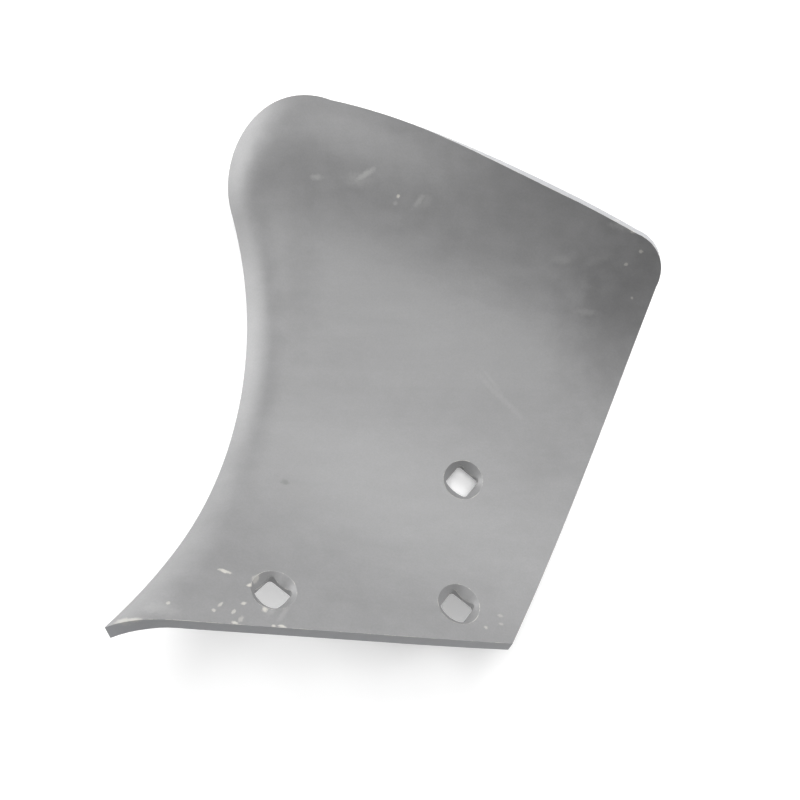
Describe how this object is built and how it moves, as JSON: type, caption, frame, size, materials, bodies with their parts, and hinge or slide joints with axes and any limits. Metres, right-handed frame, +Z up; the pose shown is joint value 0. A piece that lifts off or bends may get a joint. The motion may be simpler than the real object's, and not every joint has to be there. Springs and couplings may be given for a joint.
{
  "type": "skimmer mouldboard",
  "caption": "Curled steel mouldboard plate for a plough skimmer, which lifts and turns the trash layer ahead of the plough body; bolts on through countersunk square holes.",
  "frame": {"origin": "centre of the bounding box's base, on the floor under the plate as it rests on its curved back", "axes": "+X along the bend lines towards the straight shin edge, +Y from the share edge towards the top edge, +Z up out of the working face"},
  "size_m": [0.2588, 0.3046, 0.096],
  "materials": {
    "grey_paint": "satin, worn and chipped at the edges"
  },
  "bodies": {
    "root": {"mouldboard": "grey_paint"}
  },
  "joints": []
}
